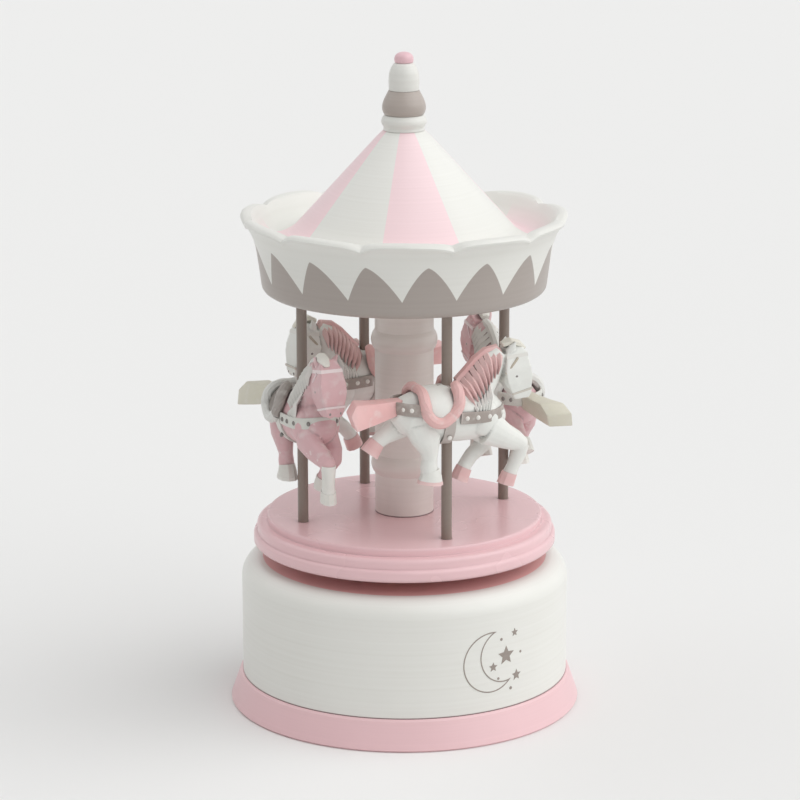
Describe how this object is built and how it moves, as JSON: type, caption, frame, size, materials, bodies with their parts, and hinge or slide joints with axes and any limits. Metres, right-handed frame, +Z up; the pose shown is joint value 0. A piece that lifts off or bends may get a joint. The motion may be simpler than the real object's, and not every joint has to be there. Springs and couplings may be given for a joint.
{
  "type": "carousel music box",
  "caption": "Turned wooden music box: a wind-up drum turns a platform with horses on poles round a column, under a striped canopy with a flared scalloped rim and a beaded finial.",
  "frame": {"origin": "middle of the plinth's underside, on the axis that the carousel turns about", "axes": "+Z up along the carousel's axis, -Y towards the front of the picture, +X to the right of the front"},
  "size_m": [0.105, 0.105, 0.1965],
  "materials": {
    "pink_paint": "satin pink paint on turned wood",
    "white_paint": "satin white paint on turned wood",
    "column_paint": "satin pale paint on turned wood",
    "taupe_paint": "satin taupe paint on turned wood",
    "bare_wood": "sanded beech",
    "white_casting": "hand-painted cast resin, white",
    "pink_casting": "hand-painted cast resin, dusty pink",
    "cast_plate": "grey zinc die casting",
    "steel": "plain steel",
    "brass": "turned brass",
    "train_plastic": "natural acetal"
  },
  "bodies": {
    "base": {"base_ring": "pink_paint", "drum_shell": "white_paint", "ring_screws": "steel", "movement_bedplate": "cast_plate", "movement_screws": "steel", "one_way_clutch": "steel", "comb": "steel", "comb_screws": "steel", "governor_block": "cast_plate", "governor_screw": "steel", "shaft_bush": "brass", "thrust_washer": "train_plastic"},
    "carousel": {"spring_barrel": "brass", "mainspring": "steel", "barrel_cap": "brass", "drive_shaft": "steel", "platform_hub": "brass", "hub_screws": "steel", "platform": "pink_paint", "column": "column_paint", "canopy": "white_paint", "finial_dowel": "bare_wood", "finial_foot": "white_paint", "finial_ring": "taupe_paint", "finial_bulb": "white_paint", "finial_tip": "pink_paint", "pole_1": "taupe_paint", "pole_2": "taupe_paint", "pole_3": "taupe_paint", "pole_4": "taupe_paint", "horse_1": "white_casting", "horse_2": "pink_casting", "horse_3": "white_casting", "horse_4": "pink_casting"},
    "cylinder": {"cylinder_pinion": "train_plastic", "cylinder_arbor": "steel", "tune_cylinder": "brass", "tune_pins": "steel", "cylinder_gear": "brass"},
    "governor": {"governor_arbor": "steel", "governor_pinion": "train_plastic", "governor_wheel": "train_plastic"},
    "fan": {"fan_arbor": "steel", "fan_pinion": "train_plastic", "air_fan": "train_plastic"},
    "key": {"winding_key": "steel", "spring_arbor": "steel"}
  },
  "joints": [
    {"name": "carousel_spin", "type": "hinge", "parent": "base", "child": "carousel", "pos_m": [0, 0, 0.0462], "axis": [0, 0, 1], "continuous": true},
    {"name": "cylinder_spin", "type": "hinge", "parent": "base", "child": "cylinder", "pos_m": [0.024, 0, 0.0198], "axis": [1, 0, 0], "continuous": true},
    {"name": "governor_spin", "type": "hinge", "parent": "base", "child": "governor", "pos_m": [0.034, -0.00925, 0.0198], "axis": [1, 0, 0], "continuous": true},
    {"name": "fan_spin", "type": "hinge", "parent": "base", "child": "fan", "pos_m": [0.03, -0.01542, 0.02497], "axis": [1, 0, 0], "continuous": true},
    {"name": "key_wind", "type": "hinge", "parent": "base", "child": "key", "pos_m": [0, 0, 0.005], "axis": [0, 0, 1], "range_deg": [0, 1800]}
  ],
  "couplings": [
    {"joint": "cylinder_spin", "follows": "carousel_spin", "ratio": 2.5},
    {"joint": "governor_spin", "follows": "carousel_spin", "ratio": -9},
    {"joint": "fan_spin", "follows": "carousel_spin", "ratio": 27}
  ]
}
